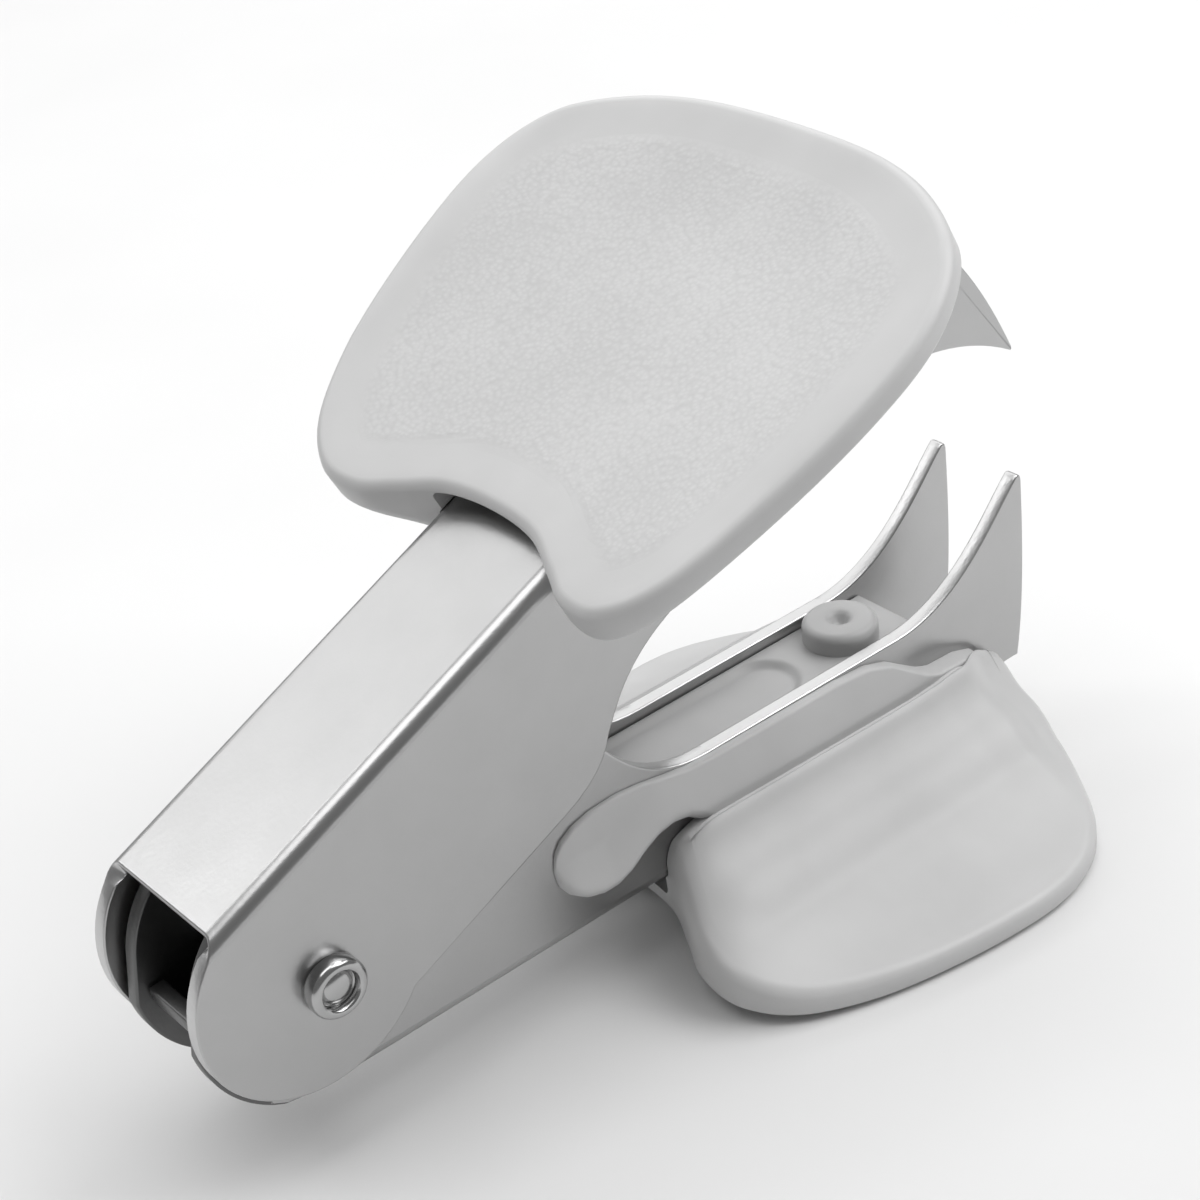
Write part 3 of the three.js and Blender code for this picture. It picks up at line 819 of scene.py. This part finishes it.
def stake_head(name, matrix, body):
    """The stake's formed head with its dimple, on the core."""
    base = CORE_FACE + 0.1
    face = CORE_FACE - GAP - STAKE_PROUD
    r = 0.55
    edge = [(STAKE_HEAD - r + r * math.cos(a), face + r - r * math.sin(a))
            for a in [QUARTER * k / 8 for k in range(9)]]
    dimple = [(0.95, 0), (0.78, 0.05), (0.6, 0.22), (0.45, 0.5), (0.25, 0.66), (0.02, 0.7)]
    profile = [(0.02, base), (STAKE_HEAD, base)] + edge + [(1.3, face - 0.02)]
    profile += [(radius, face + depth) for radius, depth in dimple]
    vertices, faces = lathe(profile, 72)
    place = matrix @ Matrix.Translation((STAKE_X, 0, 0))
    obj = piece(name, vertices, faces, place, body, CORE_PLASTIC)
    fix_normals(obj)
    sharp_by_angle(obj, 60)


core("upper_core_block", UPPER, "upper_half", UPPER_HALF, "upper_core")
core("lower_core_block", LOWER, "lower_half", LOWER_HALF, "lower_core")
stake_head("upper_stake_head", UPPER, "upper_half")
stake_head("lower_stake_head", LOWER, "lower_half")


# ---- pivot ------------------------------------------------------------------------------------------

def rivet_end(face):
    """Half the rivet's profile, from the shank outwards: its rolled head and the domed cup in its end."""
    end = face + RIVET_PROUD
    r = 0.42
    outside = [(RIVET_HEAD - 0.12, face), (RIVET_HEAD, face + 0.12), (RIVET_HEAD, end - r)]
    roll = [(RIVET_HEAD - r + r * math.cos(a), end - r + r * math.sin(a))
            for a in [QUARTER * k / 6 for k in range(1, 7)]]
    lip = [(1.33, end), (1.24, end - 0.04), (1.17, end - 0.15), (1.14, end - 0.55), (1.05, end - 0.62)]
    dome = [(1.02 * math.cos(a), end - 0.62 + 0.42 * math.sin(a))
            for a in [QUARTER * k / 8 for k in range(1, 8)]]
    return [(RIVET_SHANK, face)] + outside + roll + lip + dome + [(0.01, end - 0.2)]


def rivet():
    """The hollow rivet through both jaws, with a head on each side."""
    half = rivet_end(UPPER_HALF + 0.02)
    profile = [(r, -h) for r, h in reversed(half)] + half
    vertices, faces = lathe(profile, 72)
    obj = piece("rivet", vertices, faces, ACROSS, "lower_half", RIVET_STEEL)
    fix_normals(obj)
    sharp_by_angle(obj, 45)
    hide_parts("pivot_rivet")


def bush():
    """The tube round the rivet. Its profile closes on itself, so the two caps are left off."""
    half = LOWER_HALF - SHEET - 0.05
    bore = RIVET_SHANK + 0.05
    edge = 0.12
    profile = [(bore, -half), (BUSH_RADIUS - edge, -half), (BUSH_RADIUS, -half + edge),
               (BUSH_RADIUS, half - edge), (BUSH_RADIUS - edge, half), (bore, half), (bore, -half)]
    vertices, faces = lathe(profile, 64)
    obj = piece("bush", vertices, faces[:-2], ACROSS, "lower_half", RIVET_STEEL)
    fix_normals(obj)
    sharp_by_angle(obj, 40)
    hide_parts("spring_bush")


def spring_path():
    """One leg under the upper web, coils round the bush, and one leg on the lower web."""
    width = 2 * (LOWER_HALF - SHEET) - 2 * WIRE - 2 * GAP
    start, end = math.radians(78), math.radians(-82) + 2 * math.pi * COIL_TURNS
    up = Vector((math.cos(OPEN_ANGLE + 0.02), 0, math.sin(OPEN_ANGLE + 0.02)))
    top = Vector((math.cos(start) * COIL_RADIUS, width / 2, math.sin(start) * COIL_RADIUS))
    points = [top + up * 15 + Vector((-0.9, 0, 2.2)), top + up * 8 + Vector((-0.5, 0, 1.1))]
    steps = 24 * COIL_TURNS
    for i in range(steps + 1):
        a = start + (end - start) * i / steps
        y = width / 2 - width * i / steps
        points.append(Vector((math.cos(a) * COIL_RADIUS, y, math.sin(a) * COIL_RADIUS)))
    return points + [Vector((8, -width / 2, -4.6)), Vector((16, -width / 2, -6.1))]


def spring():
    """A wire swept along its path. Its upper leg lies along the upper jaw at its open angle."""
    path = spring_path()
    sides = 14
    angles = [2 * math.pi * k / sides for k in range(sides)]
    rings = []
    across = Vector((0, 1, 0))
    for i, p in enumerate(path):
        along = (path[min(i + 1, len(path) - 1)] - path[max(i - 1, 0)]).normalized()
        u = along.cross(across).normalized()
        v = along.cross(u)
        rings.append([p + (u * math.cos(a) + v * math.sin(a)) * WIRE for a in angles])
    vertices, faces = loft(rings)
    obj = mesh_object("spring", vertices, faces, MIDDLE, SPRING_STEEL)
    shade_smooth(obj)
    fix_normals(obj)
    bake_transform(obj)
    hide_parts("torsion_spring")


rivet()
bush()
spring()


# ---- floor, light and camera ------------------------------------------------------------------------

def floor():
    """A pale floor just under the object."""
    n = Nodes("studio_floor")
    space = object_space(n)
    cloud = n.add("ShaderNodeTexNoise", Scale=30.0, Detail=2.0)
    n.link(space, cloud.inputs["Vector"])
    n.link(n.ramp(cloud.outputs["Fac"], (0.3, 0.75), (0.7, 0.77)), n.shader.inputs["Base Color"])
    n.shader.inputs["Roughness"].default_value = 0.7
    size, z = 1.5, cad_box[0][2] - 0.00002
    corners = [(-size, -size, z), (size, -size, z), (size, size, z), (-size, size, z)]
    obj = mesh_object("floor", corners, [(0, 1, 2, 3)], Matrix(), n.material)


def area_light(name, place, size, power):
    """A softbox that faces the object."""
    light = bpy.data.lights.new(name, "AREA")
    light.shape = "RECTANGLE"
    light.size, light.size_y = size
    light.energy = power
    obj = bpy.data.objects.new(name, light)
    obj.location = place
    target = Vector((0, 0, 0.02))
    obj.rotation_euler = (target - Vector(place)).to_track_quat("-Z", "Y").to_euler()
    bpy.context.scene.collection.objects.link(obj)


def studio():
    """A dim white world and four softboxes."""
    world = bpy.data.worlds.new("studio")
    bpy.context.scene.world = world
    world.use_nodes = True
    background = world.node_tree.nodes["Background"]
    background.inputs["Color"].default_value = (1, 1, 1, 1)
    background.inputs["Strength"].default_value = 0.22
    area_light("key_softbox", (0.275, -0.175, 0.42), (0.4, 0.4), 1.95)
    area_light("top_softbox", (-0.1, 0.02, 0.52), (0.34, 0.42), 1.1)
    area_light("back_softbox", (0.16, 0.40, 0.36), (0.7, 0.45), 1.38)
    area_light("left_softbox", (-0.25, 0.42, 0.33), (0.12, 0.3), 0.4)


def camera():
    """The viewpoint, placed from the pivot."""
    data = bpy.data.cameras.new("camera")
    data.lens = 78.3
    data.sensor_width = 36
    obj = bpy.data.objects.new("camera", data)
    obj.location = PIVOT + Vector((-48.04, -103.54, 87.78)) * MM
    obj.rotation_euler = Euler([math.radians(a) for a in (58.07, 6.93, -39.28)], "XYZ")
    bpy.context.scene.collection.objects.link(obj)
    bpy.context.scene.camera = obj


floor()
studio()
camera()
bpy.context.scene.view_settings.view_transform = "Standard"
